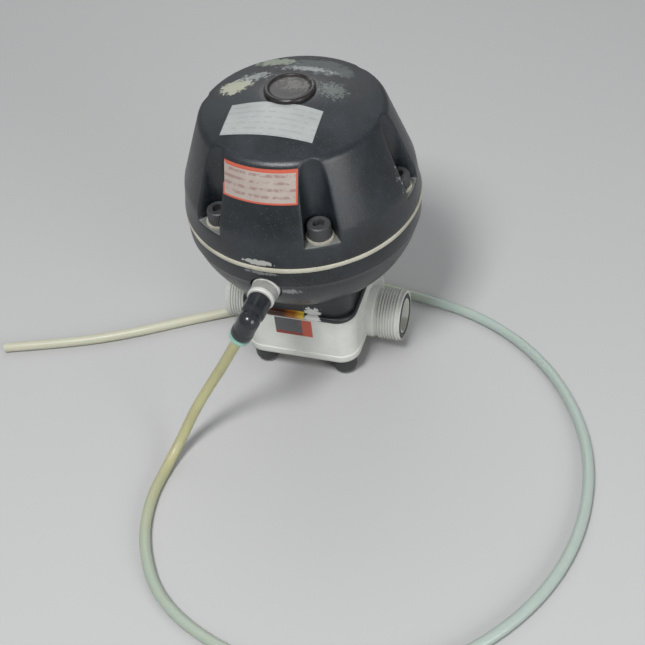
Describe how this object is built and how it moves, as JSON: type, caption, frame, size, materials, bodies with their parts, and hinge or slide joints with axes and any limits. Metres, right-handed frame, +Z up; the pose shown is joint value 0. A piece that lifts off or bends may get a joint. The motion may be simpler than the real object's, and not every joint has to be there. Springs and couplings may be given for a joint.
{
  "type": "diaphragm valve",
  "caption": "Air-operated weir diaphragm valve: domed black actuator on a white block with threaded ports, on domed caps, with an air hose looped on the floor.",
  "frame": {"origin": "on the floor, on the stem axis, level with the undersides of the four domed caps", "axes": "+Z up along the stem, +X out of the right port, -Y towards the air inlet"},
  "size_m": [0.4977, 0.4013, 0.2384],
  "materials": {
    "body_white": "injection moulded PVC, slightly dirty",
    "seal_rubber": "EPDM",
    "housing_black": "glass filled polyamide, worn",
    "diaphragm_cream": "fabric reinforced rubber, aged edge",
    "cap_black": "moulded plastic",
    "steel": "zinc plated",
    "screw_black": "black oxide steel, dusty",
    "brass": "turned",
    "nickel": "nickel plated brass, knurled",
    "stem_steel": "turned stainless",
    "plate_steel": "pressed",
    "spring_steel": "oiled",
    "indicator_red": "moulded",
    "bush_plastic": "acetal",
    "sight_smoke": "smoky polycarbonate, scratched",
    "elbow_black": "polished moulding",
    "collet_teal": "acetal",
    "hose_pu": "polyurethane tube, yellowed",
    "label_paper": "printed film",
    "label_red": "printed film",
    "label_dark": "printed film",
    "seal_tape": "amber film",
    "lichen": "dried deposit"
  },
  "bodies": {
    "valve": {"valve_body": "body_white", "port_seal_left": "seal_rubber", "port_seal_right": "seal_rubber", "valve_diaphragm": "seal_rubber", "diaphragm_web": "seal_rubber", "lower_housing": "housing_black", "body_bolts": "steel", "body_washers": "steel", "body_inserts": "brass", "bolt_caps": "cap_black", "actuator_diaphragm": "diaphragm_cream", "actuator_web": "diaphragm_cream", "spring_outer": "spring_steel", "spring_inner": "spring_steel", "spindle_bush": "bush_plastic", "stem_seal": "seal_rubber", "upper_housing": "housing_black", "housing_screws": "screw_black", "housing_washers": "steel", "housing_inserts": "brass", "sight_cap": "sight_smoke", "sight_cap_seal": "seal_rubber", "nipple_seal": "seal_rubber", "nipple": "nickel", "elbow_body": "elbow_black", "tube_seal": "seal_rubber", "grab_ring": "steel", "air_hose": "hose_pu"},
    "stem": {"compressor": "cap_black", "diaphragm_stud": "stem_steel", "spindle": "stem_steel", "lower_plate": "plate_steel", "upper_plate": "plate_steel", "spindle_nut": "steel", "indicator_rod": "indicator_red"},
    "release_ring": {"release_ring": "collet_teal"}
  },
  "joints": [
    {"name": "stem_lift", "type": "slide", "parent": "valve", "child": "stem", "axis": [0, 0, 1], "range_m": [0, 0.01], "stiffness_N_per_m": 5000, "springref_m": -0.01, "deforming": ["spring_outer", "spring_inner", "actuator_web", "diaphragm_web"]},
    {"name": "release_ring_press", "type": "slide", "parent": "valve", "child": "release_ring", "axis": [0.4695, 0, 0.8829], "range_m": [0, 0.0012], "stiffness_N_per_m": 1500, "springref_m": -0.0005}
  ]
}
